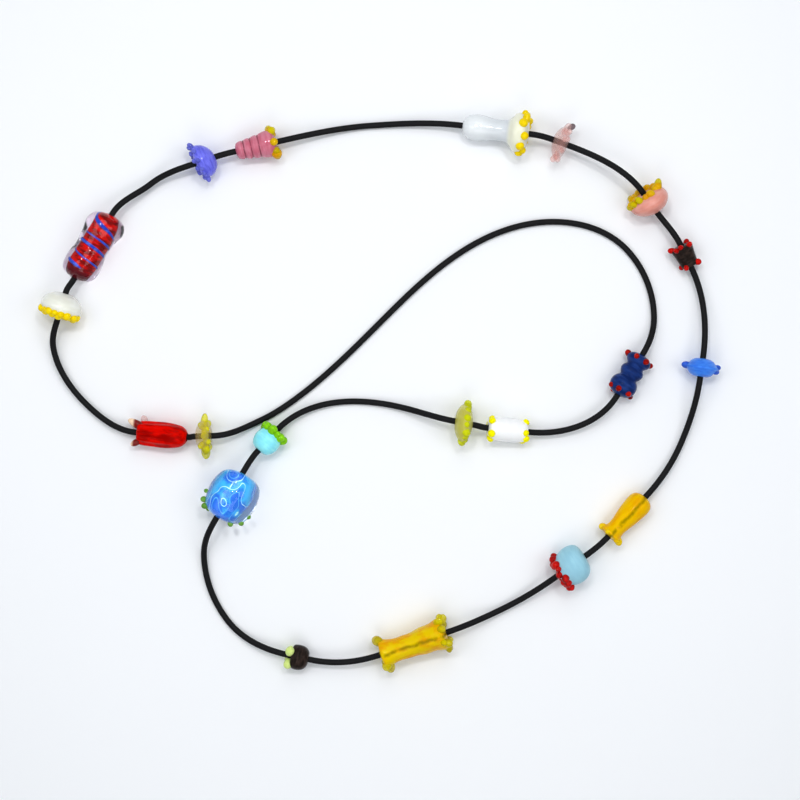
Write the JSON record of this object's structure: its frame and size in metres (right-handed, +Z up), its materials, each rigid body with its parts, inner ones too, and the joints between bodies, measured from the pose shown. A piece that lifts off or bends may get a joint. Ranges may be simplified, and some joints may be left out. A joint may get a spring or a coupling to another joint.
{
  "type": "beaded necklace",
  "caption": "Long necklace of lampwork glass beads, each with melted nubs, threaded on one closed loop of black rubber cord and lying flat in a folded loop.",
  "frame": {"origin": "on the surface that the necklace lies on, at the middle of its outline in plan", "axes": "+Z up from the surface; +X to the right and +Y to the top of the necklace as it lies, seen from above"},
  "size_m": [0.3373, 0.2776, 0.0255],
  "materials": {
    "cord_rubber": "matte",
    "opal_white_glass": "milky opal, glossy",
    "pale_pink_glass": "translucent, glossy",
    "peach_glass": "opaque, glossy",
    "dark_brown_glass": "opaque, glossy",
    "mid_blue_glass": "translucent, glossy",
    "yellow_glass": "clear, glossy",
    "aqua_glass": "opaque, satin",
    "amber_glass": "clear with streaks, glossy",
    "clear_blue_glass": "clear over a blue core, glossy",
    "turquoise_glass": "opaque, glossy",
    "olive_glass": "translucent, glossy",
    "white_glass": "opaque, glossy",
    "cobalt_glass": "opaque, glossy",
    "pale_yellow_glass": "clear, glossy",
    "red_glass": "clear, glossy",
    "ivory_glass": "opaque, glossy",
    "cased_red_glass": "clear over a red core, glossy",
    "periwinkle_glass": "opaque, satin",
    "dusty_pink_glass": "opaque, glossy"
  },
  "bodies": {
    "root": {"rubber_cord": "cord_rubber", "white_trumpet_bead": "opal_white_glass", "pale_pink_disc_bead": "pale_pink_glass", "peach_nubbed_bead": "peach_glass", "brown_cup_bead": "dark_brown_glass", "blue_lens_bead": "mid_blue_glass", "yellow_vase_bead": "yellow_glass", "aqua_bell_bead": "aqua_glass", "amber_tube_bead": "amber_glass", "brown_button_bead": "dark_brown_glass", "clear_blue_bead": "clear_blue_glass", "turquoise_bead": "turquoise_glass", "olive_disc_bead": "olive_glass", "white_barrel_bead": "white_glass", "cobalt_lobed_bead": "cobalt_glass", "clear_yellow_disc_bead": "pale_yellow_glass", "red_tulip_bead": "red_glass", "ivory_dome_bead": "ivory_glass", "cased_spiral_bead": "cased_red_glass", "periwinkle_dome_bead": "periwinkle_glass", "pink_cone_bead": "dusty_pink_glass"}
  },
  "joints": []
}
